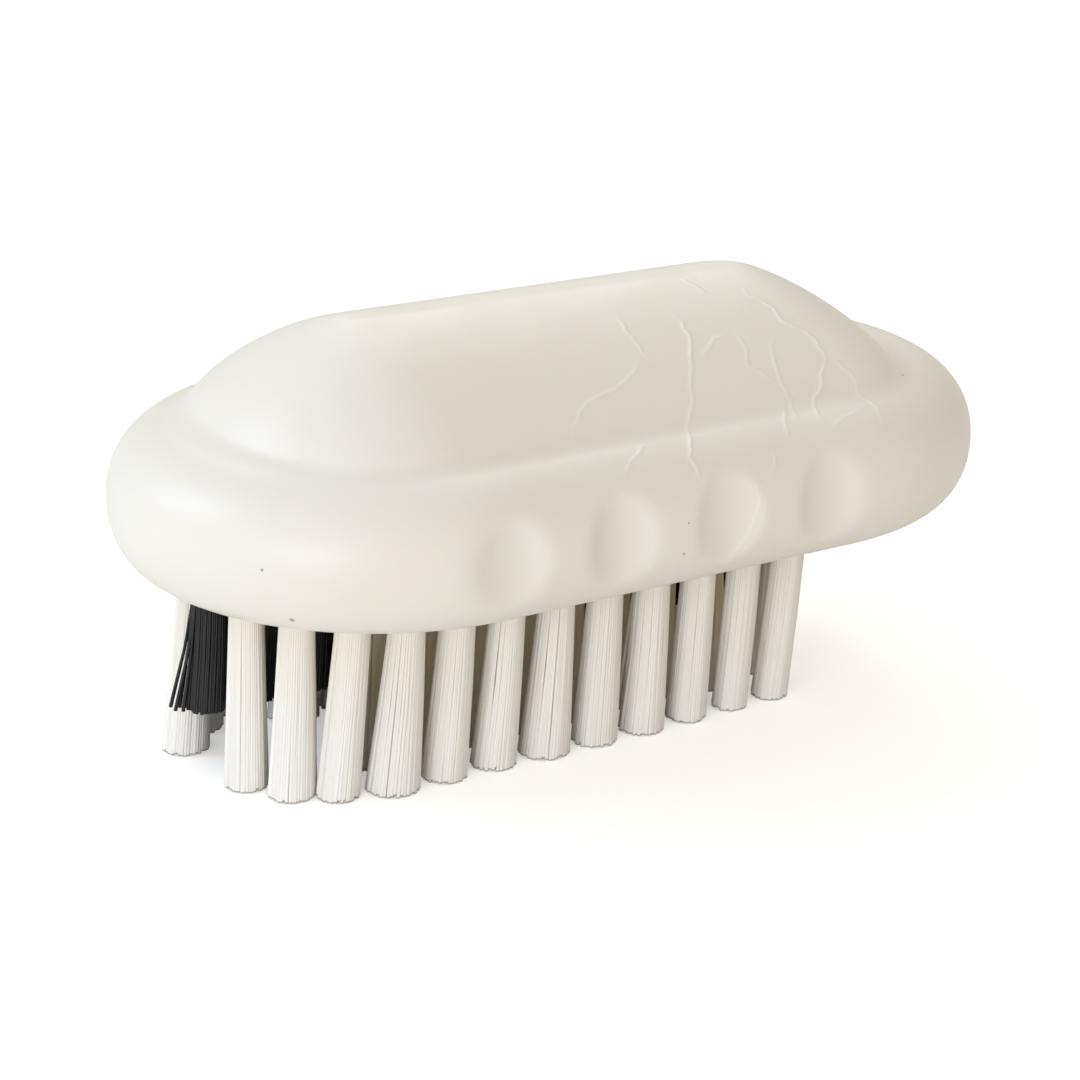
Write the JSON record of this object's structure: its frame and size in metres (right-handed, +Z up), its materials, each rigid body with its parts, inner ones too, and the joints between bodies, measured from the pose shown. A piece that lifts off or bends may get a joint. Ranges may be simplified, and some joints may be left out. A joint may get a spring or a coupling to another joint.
{
  "type": "nail brush",
  "caption": "Nail brush with a thick rounded plastic back, raised grip, finger dimples and rows of upright white bristle tufts round a shorter black middle row.",
  "frame": {"origin": "under the middle of the back, on the plane of the white bristle tips that the brush stands on", "axes": "+X along the brush towards its bare underside end, +Y towards the far row of dimples, +Z up out of the grip"},
  "size_m": [0.12, 0.068, 0.0552],
  "materials": {
    "back": "warm white moulded polypropylene, satin, with faint flow marks",
    "white_bristle": "white nylon filament, slightly translucent, cut tips",
    "black_bristle": "black nylon filament, soft sheen, cut tips",
    "anchor_wire": "bright drawn flat wire, cut to length"
  },
  "bodies": {
    "root": {"brush_back": "back", "white_tuft_01": "white_bristle", "white_tuft_02": "white_bristle", "white_tuft_03": "white_bristle", "white_tuft_04": "white_bristle", "white_tuft_05": "white_bristle", "white_tuft_06": "white_bristle", "white_tuft_07": "white_bristle", "white_tuft_08": "white_bristle", "white_tuft_09": "white_bristle", "white_tuft_10": "white_bristle", "white_tuft_11": "white_bristle", "white_tuft_12": "white_bristle", "white_tuft_13": "white_bristle", "white_tuft_14": "white_bristle", "white_tuft_15": "white_bristle", "white_tuft_16": "white_bristle", "white_tuft_17": "white_bristle", "white_tuft_18": "white_bristle", "white_tuft_19": "white_bristle", "white_tuft_20": "white_bristle", "white_tuft_21": "white_bristle", "white_tuft_22": "white_bristle", "white_tuft_23": "white_bristle", "white_tuft_24": "white_bristle", "white_tuft_25": "white_bristle", "white_tuft_26": "white_bristle", "white_tuft_27": "white_bristle", "white_tuft_28": "white_bristle", "white_tuft_29": "white_bristle", "white_tuft_30": "white_bristle", "white_tuft_31": "white_bristle", "white_tuft_32": "white_bristle", "white_tuft_33": "white_bristle", "white_tuft_34": "white_bristle", "white_tuft_35": "white_bristle", "white_tuft_36": "white_bristle", "white_tuft_37": "white_bristle", "white_tuft_38": "white_bristle", "white_tuft_39": "white_bristle", "white_tuft_40": "white_bristle", "white_tuft_41": "white_bristle", "white_tuft_42": "white_bristle", "black_tuft_01": "black_bristle", "black_tuft_02": "black_bristle", "black_tuft_03": "black_bristle", "black_tuft_04": "black_bristle", "black_tuft_05": "black_bristle", "black_tuft_06": "black_bristle", "black_tuft_07": "black_bristle", "black_tuft_08": "black_bristle", "black_tuft_09": "black_bristle", "black_tuft_10": "black_bristle", "black_tuft_11": "black_bristle", "black_tuft_12": "black_bristle", "tuft_anchors": "anchor_wire"}
  },
  "joints": []
}
